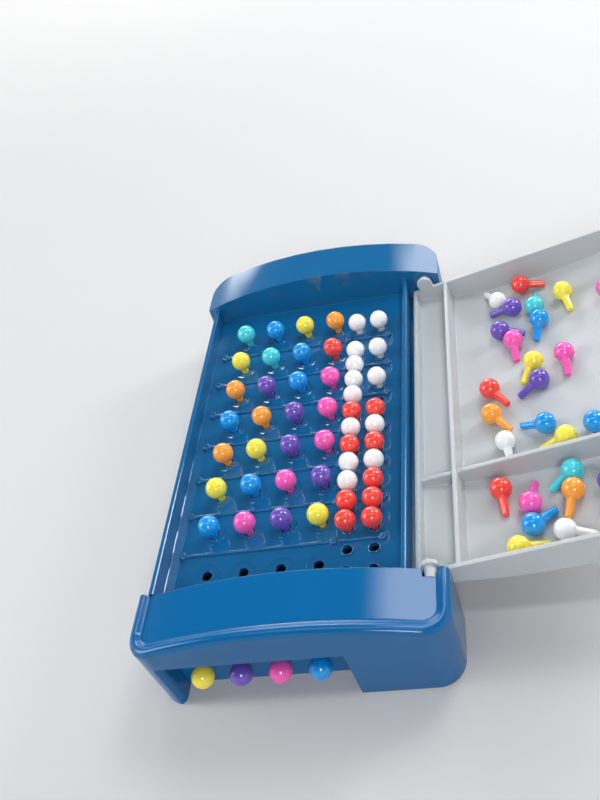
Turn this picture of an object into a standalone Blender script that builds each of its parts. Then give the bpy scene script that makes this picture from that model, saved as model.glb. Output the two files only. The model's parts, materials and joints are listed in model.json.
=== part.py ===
# Code breaking peg game: a moulded board with rows of peg holes, a code hood at its
# foot, a storage tray that swings over the board as its lid, and ball headed pegs.
# Metres, +Z up. X runs along a row of holes, +Y points to the head of the board.
# The origin lies on the surface that the game stands on, under the middle of the rows.

import math

import bmesh
import bpy
from mathutils import Matrix, Vector

# Peg field
ROWS = 8
CODE_COLUMNS = 4
ROW_PITCH = 0.018
COLUMN_PITCH = 0.0144
KEY_PITCH_X = 0.010
KEY_PITCH_Y = 0.009
KEY_ROW_SHIFT = 0.0005
CODE_TO_KEY = 0.0106
LEFT_MARGIN = 0.0159
RIGHT_MARGIN = 0.0111
HEAD_MARGIN = 0.019
FOOT_MARGIN = 0.0108

# Pegs
BALL_RADIUS = 0.0042
KEY_BALL_RADIUS = 0.0040
BALL_SEAT = 0.006
STEM_REACH = 0.0108
STEM_RADIUS = 0.0017
STEM_TIP_RADIUS = 0.0014
PEG_CLEARANCE = 0.0002
CODE_PEG_SIDES = 10
KEY_PEG_SIDES = 8
BALL_RINGS = 6
KEY_BALL_RINGS = 5

# Board
WALL = 0.002
DECK_HEIGHT = 0.027
LIP_HEIGHT = 0.0076
SIDE_INSET = 0.0035
STOP_LEDGE_DROP = 0.004
RIB_THICKNESS = 0.002
ROUND_EDGE = 0.0006
CORNER_RADIUS = 0.010
HEAD_DEPTH = 0.022
HEAD_DRAFT = 0.0015
CROWN_HEIGHT = 0.017
CROWN_RADIUS = 0.180
CROWN_SIDES = 96
CROWN_EDGE = 0.0012
KEY_RING_WIDTH = 0.0006
KEY_RING_HEIGHT = 0.0005
RAIL_WIDTH = 0.001
RAIL_HEIGHT = 0.0008
RAIL_START = 0.0108
RAIL_END = 0.0032
KNOB_RADIUS = 0.0013
KNOB_HEIGHT = 0.0013

# Code hood
HOOD_DEPTH = 0.0252
HOOD_LIP_SIDE = 0.0034
HOOD_LIP_FRONT = 0.0042
DISH_DEPTH = 0.0026
DISH_COVE = 0.0016
DISH_CORNER = 0.0070
HOOD_EDGE = 0.0020
LIP_EDGE = 0.0008
SECRET_DROP = 0.0120
SECRET_INSET = 0.0087
BROW_CLEARANCE = 0.0080
RECESS_LEFT = 0.0114
RECESS_RIGHT = 0.0113
LEG_ROUND = 0.003

# Storage tray and its hinge
HINGE_SPACE = 0.0080
HINGE_TO_SIDE = 0.0067
HINGE_RISE = 0.00265
TRAY_TILT = math.radians(12)
TRAY_DEPTH = 0.0155
TRAY_WALL = 0.0017
TRAY_FLOOR = 0.0018
TRAY_END_GAP = 0.0015
RIM_GAP = 0.0004
DIVIDER_SHARE = 0.72
DIVIDER_DROP = 0.0024
TRAY_CORNER = 0.0015
PIN_RADIUS = 0.0022
PIN_ENGAGEMENT = 0.003
PIN_CLEARANCE = 0.0003
LUG_RADIUS = 0.0034
LUG_ROUND_SHARE = 0.96
STOP_GAP = 0.0003

# Shared by all pieces
SEAT_GAP = 0.0003
OVERRUN = 0.001
HOLE_SIDES = 10
ROUND_STEPS = 3
CORNER_STEPS = 6

# Levels and places that follow from the sizes
CODE_WIDTH = (CODE_COLUMNS - 1) * COLUMN_PITCH
FIELD_WIDTH = LEFT_MARGIN + CODE_WIDTH + CODE_TO_KEY + KEY_PITCH_X + RIGHT_MARGIN
DECK_WIDTH = FIELD_WIDTH + WALL + WALL
CASE_HALF = (SIDE_INSET + DECK_WIDTH + HINGE_SPACE + HINGE_TO_SIDE) / 2
DECK_LEFT = SIDE_INSET - CASE_HALF
DECK_RIGHT = DECK_LEFT + DECK_WIDTH
HINGE_X = DECK_RIGHT + HINGE_SPACE
FIRST_COLUMN = DECK_LEFT + WALL + LEFT_MARGIN
LAST_COLUMN = FIRST_COLUMN + CODE_WIDTH
FIRST_KEY_COLUMN = LAST_COLUMN + CODE_TO_KEY
FIRST_ROW = (ROWS - 1) * ROW_PITCH / 2
HEAD_WALL = FIRST_ROW + HEAD_MARGIN
HEAD_END = HEAD_WALL + HEAD_DEPTH
HOOD_BACK = -FIRST_ROW - FOOT_MARGIN
HOOD_FRONT = HOOD_BACK - HOOD_DEPTH
LIP_TOP = DECK_HEIGHT + LIP_HEIGHT
STOP_LEDGE = DECK_HEIGHT - STOP_LEDGE_DROP
CROWN_TOP = DECK_HEIGHT + CROWN_HEIGHT
CLOSED_RIM = LIP_TOP + RIM_GAP
HINGE_Z = CLOSED_RIM - HINGE_RISE
TRAY_HEAD = HEAD_WALL - TRAY_END_GAP
TRAY_FOOT = HOOD_BACK + TRAY_END_GAP
TRAY_FAR = HINGE_X - DECK_LEFT
RIDGE = HINGE_X - DECK_RIGHT + WALL / 2
DIVIDER = TRAY_HEAD + DIVIDER_SHARE * (TRAY_FOOT - TRAY_HEAD)
HOLE_RADIUS = STEM_RADIUS + PEG_CLEARANCE
SECRET_WALL = HOOD_FRONT + SECRET_INSET
SECRET_Z = DECK_HEIGHT - SECRET_DROP
BROW_Z = SECRET_Z + BALL_RADIUS + BROW_CLEARANCE
RECESS_LOW = FIRST_COLUMN - RECESS_LEFT
RECESS_HIGH = LAST_COLUMN + RECESS_RIGHT

COLORS = {
    "board_blue": (0.008, 0.105, 0.300),
    "hood_blue": (0.010, 0.125, 0.350),
    "tray_grey": (0.560, 0.590, 0.610),
    "teal": (0.020, 0.520, 0.560),
    "blue": (0.000, 0.230, 0.740),
    "yellow": (0.900, 0.700, 0.040),
    "orange": (0.930, 0.300, 0.020),
    "red": (0.800, 0.030, 0.020),
    "purple": (0.180, 0.050, 0.450),
    "pink": (0.860, 0.050, 0.330),
    "white": (0.870, 0.870, 0.880),
}

# Colours of the pegs that are plugged in, row by row from the head, left to right
CODE_ROWS = [
    ("teal", "blue", "yellow", "orange"),
    ("yellow", "teal", "blue", "red"),
    ("orange", "purple", "blue", "pink"),
    ("blue", "orange", "purple", "pink"),
    ("orange", "yellow", "purple", "pink"),
    ("yellow", "blue", "pink", "purple"),
    ("blue", "pink", "purple", "yellow"),
]
# Key pegs as (upper left, upper right, lower left, lower right), None where a hole is empty
KEY_ROWS = [
    (None, None, "white", "white"),
    (None, None, "white", "white"),
    ("white", None, "white", "white"),
    ("white", None, "red", "red"),
    ("white", "white", "red", "red"),
    ("white", "white", "white", "red"),
    ("red", "red", "red", "red"),
]
SECRET_CODE = ("yellow", "purple", "pink", "blue")
# Loose pegs in the tray as (colour, out from the hinge, along it, heading of the stem)
SPARE_PEGS = [
    ("red", 0.0416, 0.0715, math.radians(-5)),
    ("white", 0.0306, 0.0649, math.radians(122)),
    ("purple", 0.0367, 0.0580, math.radians(174)),
]


def clear_scene():
    for old in list(bpy.data.objects):
        bpy.data.objects.remove(old, do_unlink=True)


def new_collection(name):
    made = bpy.data.collections.new(name)
    bpy.context.scene.collection.children.link(made)
    return made


def plastic(name):
    made = bpy.data.materials.new(name)
    made.use_nodes = True
    shader = made.node_tree.nodes["Principled BSDF"]
    shader.inputs["Base Color"].default_value = (*COLORS[name], 1)
    shader.inputs["Roughness"].default_value = 0.35 if name == "tray_grey" else 0.15
    shader.inputs["Metallic"].default_value = 0
    return made


def new_object(name, mesh):
    made = bpy.data.objects.new(name, mesh)
    helpers.objects.link(made)
    made.hide_render = True
    made.display_type = "WIRE"
    return made


def from_bmesh(name, bm):
    mesh = bpy.data.meshes.new(name)
    bm.to_mesh(mesh)
    bm.free()
    return new_object(name, mesh)


def box(name, low, high):
    low, high = Vector(low), Vector(high)
    bm = bmesh.new()
    size = Matrix.Diagonal((*(high - low), 1))
    bmesh.ops.create_cube(bm, size=1, matrix=Matrix.Translation((low + high) / 2) @ size)
    return from_bmesh(name, bm)


def boxes(name, spans):
    # Boxes that stand clear of each other, as one helper
    bm = bmesh.new()
    for low, high in spans:
        low, high = Vector(low), Vector(high)
        size = Matrix.Diagonal((*(high - low), 1))
        bmesh.ops.create_cube(bm, size=1, matrix=Matrix.Translation((low + high) / 2) @ size)
    return from_bmesh(name, bm)


def rods(name, ends, radius, sides):
    # Round rods between pairs of points, clear of each other, as one helper
    bm = bmesh.new()
    for start, end in ends:
        start, end = Vector(start), Vector(end)
        turn = (end - start).to_track_quat("Z", "Y").to_matrix().to_4x4()
        bmesh.ops.create_cone(
            bm,
            cap_ends=True,
            segments=sides,
            radius1=radius,
            radius2=radius,
            depth=(end - start).length,
            matrix=Matrix.Translation((start + end) / 2) @ turn,
        )
    return from_bmesh(name, bm)


def filleted(corners, steps):
    # The outline through (x, y, radius) corners, with an arc of so many steps at each radius
    points = []
    for index, (x, y, radius) in enumerate(corners):
        here = Vector((x, y))
        if radius == 0:
            points.append(here)
            continue
        before = (Vector(corners[index - 1][:2]) - here).normalized()
        after = (Vector(corners[(index + 1) % len(corners)][:2]) - here).normalized()
        half = before.angle(after) / 2
        center = here + (before + after).normalized() * radius / math.sin(half)
        first = here + before * radius / math.tan(half) - center
        last = here + after * radius / math.tan(half) - center
        sweep = first.angle_signed(last)
        for step in range(steps + 1):
            spoke = first.copy()
            spoke.rotate(Matrix.Rotation(-sweep * step / steps, 2))
            points.append(center + spoke)
    return points


def slab(name, points, low, high, upright=False):
    # A flat outline extruded along Z from low to high, or along Y where it stands upright
    curve = bpy.data.curves.new(name, "CURVE")
    curve.dimensions = "2D"
    curve.fill_mode = "BOTH"
    curve.extrude = (high - low) / 2
    spline = curve.splines.new("POLY")
    spline.points.add(len(points) - 1)
    for point, place in zip(spline.points, points):
        point.co = (place[0], place[1], 0, 1)
    spline.use_cyclic_u = True
    drawn = new_object(name + "_outline", curve)
    if upright:
        drawn.rotation_euler = (math.pi / 2, 0, 0)
        drawn.location = (0, (low + high) / 2, 0)
    else:
        drawn.location = (0, 0, (low + high) / 2)
    made = new_object(name, evaluated_mesh(drawn))
    made.matrix_world = drawn.matrix_world
    bpy.data.objects.remove(drawn)
    return made


def evaluated_mesh(obj):
    bpy.context.view_layer.update()
    graph = bpy.context.evaluated_depsgraph_get()
    mesh = bpy.data.meshes.new_from_object(obj.evaluated_get(graph))
    bm = bmesh.new()
    bm.from_mesh(mesh)
    bmesh.ops.remove_doubles(bm, verts=bm.verts, dist=1e-6)
    bmesh.ops.recalc_face_normals(bm, faces=bm.faces)
    bm.to_mesh(mesh)
    bm.free()
    return mesh


def boolean(target, other, operation):
    step = target.modifiers.new(operation.lower() + "_" + other.name, "BOOLEAN")
    step.operation = operation
    step.solver = "EXACT"
    step.object = other


def cut(target, *others):
    for other in others:
        boolean(target, other, "DIFFERENCE")


def join(target, *others):
    for other in others:
        boolean(target, other, "UNION")


def keep_common(target, *others):
    for other in others:
        boolean(target, other, "INTERSECT")


def settle(obj):
    # Turns the modifiers' result into the object's own mesh, so that its edges can be picked
    mesh = evaluated_mesh(obj)
    obj.modifiers.clear()
    obj.data = mesh


def round_edges(obj, wanted, radius, steps):
    # Rounds the sharp outer edges whose middle passes the test
    bm = bmesh.new()
    bm.from_mesh(obj.data)
    picked = [
        edge
        for edge in bm.edges
        if edge.is_manifold
        and edge.calc_face_angle_signed() > math.radians(35)
        and wanted((edge.verts[0].co + edge.verts[1].co) / 2)
    ]
    bmesh.ops.bevel(
        bm,
        geom=picked,
        offset=radius,
        segments=steps,
        profile=0.5,
        affect="EDGES",
        clamp_overlap=True,
    )
    bm.to_mesh(obj.data)
    bm.free()


def finish(obj, name, color):
    # Makes a helper the visible piece of this name
    obj.name = name
    obj.data.name = name
    helpers.objects.unlink(obj)
    pieces.objects.link(obj)
    obj.hide_render = False
    obj.display_type = "TEXTURED"
    obj.data.materials.clear()
    obj.data.materials.append(materials[color])
    obj.data.shade_smooth()
    obj.data.set_sharp_from_angle(angle=math.radians(32))
    return obj


def row_y(row):
    return FIRST_ROW - row * ROW_PITCH


def code_x(column):
    return FIRST_COLUMN + column * COLUMN_PITCH


def key_place(row, slot):
    # Slots run upper left, upper right, lower left, lower right
    x = FIRST_KEY_COLUMN + (slot % 2) * KEY_PITCH_X
    y = row_y(row) + KEY_ROW_SHIFT + (1 - 2 * (slot // 2)) * KEY_PITCH_Y / 2
    return x, y


def crown(name, inset):
    # The long cylinder whose top is the arched top of the closed game, set in by inset
    low = Vector((0, HOOD_FRONT - OVERRUN, CROWN_TOP - CROWN_RADIUS))
    high = Vector((0, HEAD_END + OVERRUN, CROWN_TOP - CROWN_RADIUS))
    return rods(name, [(low, high)], CROWN_RADIUS - inset, CROWN_SIDES)


def head_block():
    plan = filleted(
        [
            (-CASE_HALF, HEAD_WALL, 0),
            (CASE_HALF, HEAD_WALL, 0),
            (CASE_HALF, HEAD_END, CORNER_RADIUS),
            (-CASE_HALF, HEAD_END, CORNER_RADIUS),
        ],
        CORNER_STEPS,
    )
    block = slab("head_block", plan, 0, CROWN_TOP + OVERRUN)
    keep_common(block, crown("head_crown", 0))
    # The wall that faces the pegs leans back from the deck up
    top = CROWN_TOP + OVERRUN
    lean = HEAD_DRAFT * (top - DECK_HEIGHT) / CROWN_HEIGHT
    before = HEAD_WALL - OVERRUN
    outline = [(HEAD_WALL, DECK_HEIGHT), (HEAD_WALL + lean, top), (before, top), (before, DECK_HEIGHT)]
    wedge = slab("head_lean", outline, -CASE_HALF - OVERRUN, CASE_HALF + OVERRUN, upright=True)
    # Turned a quarter, the outline that ran along X runs along Y
    wedge.matrix_world = Matrix.Rotation(math.pi / 2, 4, "Z") @ wedge.matrix_world
    cut(block, wedge)
    settle(block)
    round_edges(block, lambda middle: middle.z > LIP_TOP, CROWN_EDGE, ROUND_STEPS)
    inner = HEAD_WALL + HEAD_DRAFT + WALL
    hollow = slab(
        "head_hollow",
        filleted(
            [
                (WALL - CASE_HALF, inner, 0),
                (CASE_HALF - WALL, inner, 0),
                (CASE_HALF - WALL, HEAD_END - WALL, CORNER_RADIUS - WALL),
                (WALL - CASE_HALF, HEAD_END - WALL, CORNER_RADIUS - WALL),
            ],
            CORNER_STEPS,
        ),
        -OVERRUN,
        CROWN_TOP,
    )
    keep_common(hollow, crown("head_hollow_crown", WALL))
    cut(block, hollow)
    return block


def stop_x():
    # Where the near lower edge of the open tray comes to rest against the board
    side_depth = TRAY_DEPTH - crown_drop(CASE_HALF)
    across, down = -HINGE_TO_SIDE, -HINGE_RISE - side_depth
    return HINGE_X + across * math.cos(TRAY_TILT) - down * math.sin(TRAY_TILT) - STOP_GAP


def crown_drop(x):
    return CROWN_RADIUS - math.sqrt(CROWN_RADIUS**2 - x**2)


def deck():
    ledge = stop_x()
    profile = filleted(
        [
            (DECK_LEFT, 0, 0),
            (DECK_LEFT + WALL, 0, 0),
            (DECK_LEFT + WALL, DECK_HEIGHT - WALL, 0),
            (DECK_RIGHT - WALL, DECK_HEIGHT - WALL, 0),
            (DECK_RIGHT - WALL, STOP_LEDGE - WALL, 0),
            (ledge - WALL, STOP_LEDGE - WALL, 0),
            (ledge - WALL, 0, 0),
            (ledge, 0, 0),
            (ledge, STOP_LEDGE, ROUND_EDGE),
            (DECK_RIGHT, STOP_LEDGE, 0),
            (DECK_RIGHT, LIP_TOP, ROUND_EDGE),
            (DECK_RIGHT - WALL, LIP_TOP, ROUND_EDGE),
            (DECK_RIGHT - WALL, DECK_HEIGHT, ROUND_EDGE),
            (DECK_LEFT + WALL, DECK_HEIGHT, ROUND_EDGE),
            (DECK_LEFT + WALL, LIP_TOP, ROUND_EDGE),
            (DECK_LEFT, LIP_TOP, ROUND_EDGE),
        ],
        ROUND_STEPS,
    )
    return slab("deck", profile, HOOD_BACK + SEAT_GAP, HEAD_WALL + HEAD_DRAFT, upright=True)


def cross_walls():
    # The deck's foot wall and the ribs below it, which run under every second rail
    ledge = stop_x() - WALL / 2
    low_x = DECK_LEFT + WALL / 2
    foot = HOOD_BACK + SEAT_GAP
    spans = [((low_x, foot, 0), (ledge, foot + WALL, STOP_LEDGE - WALL / 2))]
    for rail in range(1, ROWS - 1, 2):
        y = row_y(rail) - ROW_PITCH / 2
        low = (low_x, y - RIB_THICKNESS / 2, 0)
        high = (DECK_RIGHT - WALL / 2, y + RIB_THICKNESS / 2, DECK_HEIGHT - WALL / 2)
        spans.append((low, high))
    return boxes("cross_walls", spans)


def foot_wall_top():
    foot = HOOD_BACK + SEAT_GAP
    low = (DECK_LEFT + WALL / 2, foot, WALL)
    return box("foot_wall_top", low, (DECK_RIGHT - WALL / 2, foot + WALL, DECK_HEIGHT - WALL / 2))


def rails():
    bars = []
    knobs = []
    low_x = FIRST_COLUMN - RAIL_START
    high_x = FIRST_KEY_COLUMN + KEY_PITCH_X + RAIL_END
    for row in range(ROWS - 1):
        y = row_y(row) - ROW_PITCH / 2
        root = DECK_HEIGHT - WALL / 2
        low = (low_x, y - RAIL_WIDTH / 2, root)
        bars.append((low, (high_x, y + RAIL_WIDTH / 2, DECK_HEIGHT + RAIL_HEIGHT)))
        for x in (low_x, (LAST_COLUMN + FIRST_KEY_COLUMN) / 2, high_x):
            knobs.append(((x, y, root), (x, y, DECK_HEIGHT + KNOB_HEIGHT)))
    return boxes("rail_bars", bars), rods("rail_knobs", knobs, KNOB_RADIUS, HOLE_SIDES)


def key_rings():
    ends = []
    for row in range(ROWS):
        for slot in range(4):
            x, y = key_place(row, slot)
            ends.append(((x, y, DECK_HEIGHT - WALL / 2), (x, y, DECK_HEIGHT + KEY_RING_HEIGHT)))
    return rods("key_rings", ends, HOLE_RADIUS + KEY_RING_WIDTH, HOLE_SIDES)


def deck_holes():
    places = [(code_x(column), row_y(row)) for row in range(ROWS) for column in range(CODE_COLUMNS)]
    places += [key_place(row, slot) for row in range(ROWS) for slot in range(4)]
    low = DECK_HEIGHT - WALL - OVERRUN
    high = DECK_HEIGHT + KEY_RING_HEIGHT + OVERRUN
    return rods("deck_holes", [((x, y, low), (x, y, high)) for x, y in places], HOLE_RADIUS, HOLE_SIDES)


def hinge_bore(name, low_y, high_y):
    ends = ((HINGE_X, low_y, HINGE_Z), (HINGE_X, high_y, HINGE_Z))
    return rods(name, [ends], PIN_RADIUS + PIN_CLEARANCE, HOLE_SIDES + 2)


def pin_slot():
    # Over the hood's hinge hole, so that the foot pin drops in from above
    radius = PIN_RADIUS + PIN_CLEARANCE
    low = (HINGE_X - radius, HOOD_BACK - WALL - OVERRUN, HINGE_Z)
    return box("pin_slot", low, (HINGE_X + radius, HOOD_BACK + OVERRUN, CROWN_TOP))


def base_board():
    board = head_block()
    bars, knobs = rails()
    join(board, deck(), cross_walls(), foot_wall_top(), bars, knobs, key_rings())
    bore_end = HEAD_WALL + HEAD_DRAFT + WALL + OVERRUN
    cut(board, deck_holes(), hinge_bore("head_bore", HEAD_WALL - OVERRUN, bore_end))
    settle(board)
    return finish(board, "base_board", "board_blue")


def hood_plan(side, front, corner, back):
    return filleted(
        [
            (-CASE_HALF + side, HOOD_FRONT + front, corner),
            (CASE_HALF - side, HOOD_FRONT + front, corner),
            (CASE_HALF - side, back, 0),
            (-CASE_HALF + side, back, 0),
        ],
        CORNER_STEPS,
    )


def dish_cutter(top):
    # The dish in the hood's top, whose floor curves up into a lip on three sides
    plan = hood_plan(HOOD_LIP_SIDE, HOOD_LIP_FRONT, DISH_CORNER, HOOD_BACK + OVERRUN)
    dish = slab("dish", plan, BROW_Z, top)
    cut(dish, crown("dish_floor", DISH_DEPTH))
    settle(dish)
    low = CROWN_TOP - OVERRUN / 2
    round_edges(dish, lambda middle: middle.z < low and middle.y < HOOD_BACK, DISH_COVE, ROUND_STEPS)
    return dish


def secret_recess():
    # Open below and in front, with the left leg's inner corner rounded
    far = RECESS_LOW - LEG_ROUND - OVERRUN
    plan = filleted(
        [
            (RECESS_HIGH, SECRET_WALL, 0),
            (RECESS_LOW, SECRET_WALL, 0),
            (RECESS_LOW, HOOD_FRONT, LEG_ROUND),
            (far, HOOD_FRONT, 0),
            (far, HOOD_FRONT - OVERRUN, 0),
            (RECESS_HIGH, HOOD_FRONT - OVERRUN, 0),
        ],
        CORNER_STEPS,
    )
    return slab("recess", plan, -OVERRUN, BROW_Z)


def secret_holes():
    ends = []
    near, far = SECRET_WALL - OVERRUN, SECRET_WALL + WALL + OVERRUN
    for column in range(CODE_COLUMNS):
        x = code_x(column)
        ends.append(((x, near, SECRET_Z), (x, far, SECRET_Z)))
    return rods("secret_holes", ends, HOLE_RADIUS, HOLE_SIDES)


def code_hood():
    top = CROWN_TOP + OVERRUN
    hood = slab("hood_block", hood_plan(0, 0, CORNER_RADIUS, HOOD_BACK), 0, top)
    keep_common(hood, crown("hood_crown", 0))
    settle(hood)
    at_back = HOOD_BACK - OVERRUN
    round_edges(hood, lambda middle: middle.z > BROW_Z and middle.y < at_back, HOOD_EDGE, ROUND_STEPS)
    cut(hood, dish_cutter(top))
    settle(hood)
    round_edges(hood, lambda middle: middle.z > BROW_Z and middle.y < at_back, LIP_EDGE, ROUND_STEPS)
    # The hollow from below, which leaves a box round the recess for the secret pegs
    inner = hood_plan(WALL, WALL, CORNER_RADIUS - WALL, HOOD_BACK - WALL)
    hollow = slab("hood_hollow", inner, -OVERRUN, top)
    keep_common(hollow, crown("hood_hollow_crown", DISH_DEPTH + WALL))
    low = (RECESS_LOW - WALL, HOOD_FRONT - OVERRUN, -OVERRUN - OVERRUN)
    kept = box("recess_walls", low, (RECESS_HIGH + WALL, SECRET_WALL + WALL, BROW_Z + WALL))
    cut(hollow, kept)
    bore = hinge_bore("foot_bore", HOOD_BACK - WALL - OVERRUN, HOOD_BACK + OVERRUN)
    cut(hood, hollow, secret_recess(), secret_holes(), bore, pin_slot())
    settle(hood)
    return finish(hood, "code_hood", "hood_blue")


def peg_tray():
    # Modelled about the hinge axis, lying flat; the floor is the arched top when closed
    rim = -HINGE_RISE
    axis = Vector((HINGE_X, 0, rim - TRAY_DEPTH + CROWN_RADIUS))
    along = Vector((0, TRAY_HEAD + OVERRUN, 0))
    back = Vector((0, TRAY_FOOT - OVERRUN, 0))
    deep = rim - TRAY_DEPTH - OVERRUN
    tray = box("tray_block", (-HINGE_TO_SIDE, TRAY_FOOT, deep), (TRAY_FAR, TRAY_HEAD, rim))
    keep_common(tray, rods("tray_belly", [(axis + back, axis + along)], CROWN_RADIUS, CROWN_SIDES))
    settle(tray)
    round_edges(tray, lambda middle: middle.z < rim - WALL, TRAY_CORNER, ROUND_STEPS)
    low = (TRAY_WALL - HINGE_TO_SIDE, TRAY_FOOT + TRAY_WALL, deep)
    hollow = box("tray_hollow", low, (TRAY_FAR - TRAY_WALL, TRAY_HEAD - TRAY_WALL, rim + OVERRUN))
    inner = rods("tray_inner", [(axis + back, axis + along)], CROWN_RADIUS - TRAY_FLOOR, CROWN_SIDES)
    keep_common(hollow, inner)
    half = TRAY_WALL / 2
    near = -HINGE_TO_SIDE - OVERRUN
    top = rim + OVERRUN + OVERRUN
    ridge = box("ridge", (RIDGE - half, back.y, deep - OVERRUN), (RIDGE + half, along.y, top))
    low = (near, DIVIDER - half, deep - OVERRUN)
    divider = box("divider", low, (TRAY_FAR + OVERRUN, DIVIDER + half, rim - DIVIDER_DROP))
    cut(hollow, ridge, divider)
    cut(tray, hollow)
    # Lugs above the rim carry the hinge pins, which point out at both ends
    top = LUG_RADIUS * LUG_ROUND_SHARE
    lug = filleted(
        [
            (-LUG_RADIUS, rim - TRAY_WALL, 0),
            (LUG_RADIUS, rim - TRAY_WALL, 0),
            (LUG_RADIUS, LUG_RADIUS, top),
            (-LUG_RADIUS, LUG_RADIUS, top),
        ],
        CORNER_STEPS,
    )
    join(
        tray,
        slab("head_lug", lug, TRAY_HEAD - TRAY_WALL, TRAY_HEAD, upright=True),
        slab("foot_lug", lug, TRAY_FOOT, TRAY_FOOT + TRAY_WALL, upright=True),
    )
    pins = []
    reach = TRAY_END_GAP + PIN_ENGAGEMENT
    for face, outward in ((TRAY_HEAD, 1), (TRAY_FOOT, -1)):
        pins.append(((0, face - outward * half, 0), (0, face + outward * reach, 0)))
    join(tray, rods("hinge_pins", pins, PIN_RADIUS, HOLE_SIDES + 2))
    settle(tray)
    finish(tray, "peg_tray", "tray_grey")
    tray.location = (HINGE_X, 0, HINGE_Z)
    tray.rotation_euler = (0, -TRAY_TILT, 0)
    return tray


def peg_profile(name, ball_radius, rings):
    # Half the outline of a peg, from the top of its ball down to the end of its stem
    meet = math.acos(-math.sqrt(1 - (STEM_RADIUS / ball_radius) ** 2))
    points = [(0, ball_radius)]
    for ring in range(1, rings + 1):
        angle = meet * ring / rings
        points.append((ball_radius * math.sin(angle), ball_radius * math.cos(angle)))
    points.append((STEM_TIP_RADIUS, -STEM_REACH))
    points.append((0, -STEM_REACH))
    mesh = bpy.data.meshes.new(name)
    mesh.from_pydata([(x, 0, z) for x, z in points], [(i, i + 1) for i in range(len(points) - 1)], [])
    return mesh


def peg(name, mesh, sides, color, place, turn):
    made = new_object(name, mesh)
    helpers.objects.unlink(made)
    pieces.objects.link(made)
    made.hide_render = False
    made.display_type = "TEXTURED"
    screw = made.modifiers.new("turned", "SCREW")
    screw.axis = "Z"
    screw.angle = math.tau
    screw.steps = sides
    screw.render_steps = sides
    screw.use_merge_vertices = True
    screw.merge_threshold = 1e-6
    screw.use_smooth_shade = True
    if not made.data.materials:
        made.data.materials.append(materials[color])
    made.location = place
    made.rotation_euler = turn
    return made


def tray_floor(outward):
    # Height of the arched floor from the hinge axis, with the tray lying flat
    radius = CROWN_RADIUS - TRAY_FLOOR
    across = outward - HINGE_X
    return CROWN_RADIUS - TRAY_DEPTH - HINGE_RISE - math.sqrt(radius**2 - across**2)


def lying_peg(outward, along, heading, ball_radius):
    # Place and turn of a peg whose ball and stem tip both lie on the open tray's floor
    sink = math.asin((ball_radius - STEM_TIP_RADIUS) / STEM_REACH)
    reach = STEM_REACH * math.cos(sink)
    tip_outward = outward + reach * math.cos(heading)
    tip_along = along + reach * math.sin(heading)
    ball = Vector((outward, along, tray_floor(outward) + SEAT_GAP + ball_radius))
    tip = Vector((tip_outward, tip_along, tray_floor(tip_outward) + SEAT_GAP + STEM_TIP_RADIUS))
    tilt = Matrix.Rotation(-TRAY_TILT, 3, "Y")
    turn = (tilt @ (ball - tip)).to_track_quat("Z", "Y").to_euler()
    return Vector((HINGE_X, 0, HINGE_Z)) + tilt @ ball, turn


def pegs():
    upright = (0, 0, 0)
    forward = (math.pi / 2, 0, 0)
    code_meshes = {}
    key_meshes = {}
    for row, colors in enumerate(CODE_ROWS):
        for column, color in enumerate(colors):
            if color not in code_meshes:
                code_meshes[color] = peg_profile("code_peg_" + color, BALL_RADIUS, BALL_RINGS)
            place = (code_x(column), row_y(row), DECK_HEIGHT + BALL_SEAT)
            name = f"code_peg_r{row + 1}_c{column + 1}"
            peg(name, code_meshes[color], CODE_PEG_SIDES, color, place, upright)
    for column, color in enumerate(SECRET_CODE):
        place = (code_x(column), SECRET_WALL - BALL_SEAT, SECRET_Z)
        peg(f"secret_peg_{column + 1}", code_meshes[color], CODE_PEG_SIDES, color, place, forward)
    for row, colors in enumerate(KEY_ROWS):
        for slot, color in enumerate(colors):
            if color is None:
                continue
            if color not in key_meshes:
                key_meshes[color] = peg_profile("key_peg_" + color, KEY_BALL_RADIUS, KEY_BALL_RINGS)
            x, y = key_place(row, slot)
            name = f"key_peg_r{row + 1}_{slot + 1}"
            peg(name, key_meshes[color], KEY_PEG_SIDES, color, (x, y, DECK_HEIGHT + BALL_SEAT), upright)
    for index, (color, outward, along, heading) in enumerate(SPARE_PEGS):
        is_key = color == "white"
        mesh = key_meshes[color] if is_key else code_meshes[color]
        sides = KEY_PEG_SIDES if is_key else CODE_PEG_SIDES
        radius = KEY_BALL_RADIUS if is_key else BALL_RADIUS
        place, turn = lying_peg(outward, along, heading, radius)
        peg(f"spare_peg_{index + 1}", mesh, sides, color, place, turn)


clear_scene()
pieces = new_collection("code_breaking_peg_game")
helpers = new_collection("cutters")
materials = {name: plastic(name) for name in COLORS}
base_board()
code_hood()
peg_tray()
pegs()
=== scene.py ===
import json
import math

import bmesh
import bpy
from mathutils import Matrix, Vector


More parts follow.
